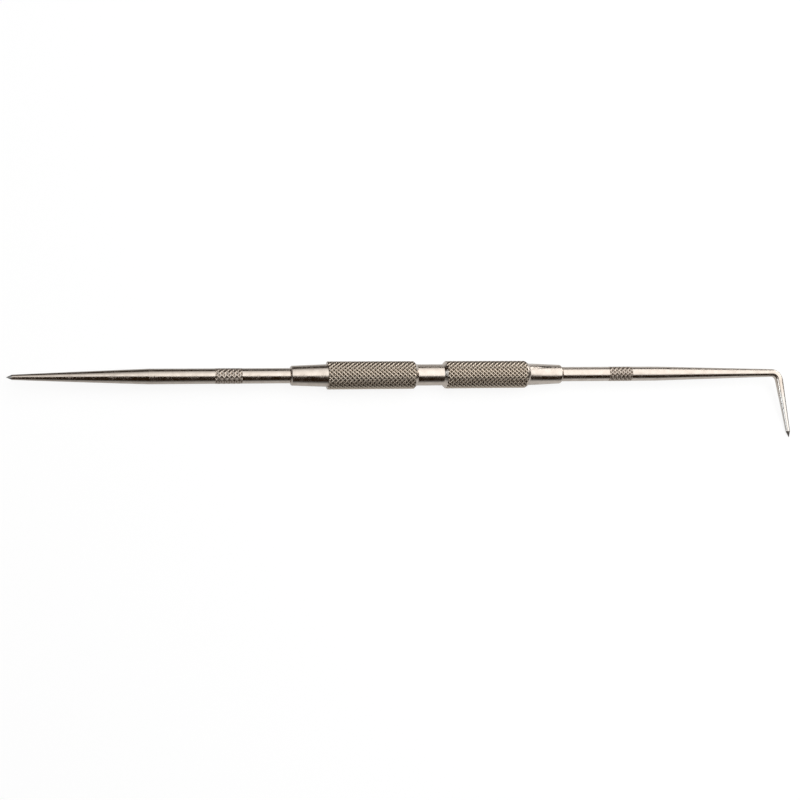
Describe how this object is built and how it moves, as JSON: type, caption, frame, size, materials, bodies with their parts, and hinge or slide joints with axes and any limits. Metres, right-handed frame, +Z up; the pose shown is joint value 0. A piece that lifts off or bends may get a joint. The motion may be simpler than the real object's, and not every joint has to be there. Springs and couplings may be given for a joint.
{
  "type": "double-ended scriber",
  "caption": "Hand scriber with a knurled handle, a long straight point screwed into one end and a right-angle bent point screwed into the other.",
  "frame": {"origin": "on the surface that the tool lies on, under the middle of the whole tool's box", "axes": "+X along the handle from the straight point to the bent point, +Z up, and the bent arm lies towards -Y"},
  "size_m": [0.2292, 0.024, 0.0079],
  "materials": {
    "nickel_handle": "knurled and turned steel, satin nickel plate",
    "nickel_point": "ground tool steel, bright nickel plate"
  },
  "bodies": {
    "handle": {"handle": "nickel_handle"},
    "straight_point": {"straight_point": "nickel_point"},
    "bent_point": {"bent_point": "nickel_point"}
  },
  "joints": [
    {"name": "straight_point_unscrew", "type": "slide", "parent": "handle", "child": "straight_point", "axis": [-1, 0, 0], "range_m": [0, 0.0095]},
    {"name": "bent_point_unscrew", "type": "slide", "parent": "handle", "child": "bent_point", "axis": [1, 0, 0], "range_m": [0, 0.0095]}
  ]
}
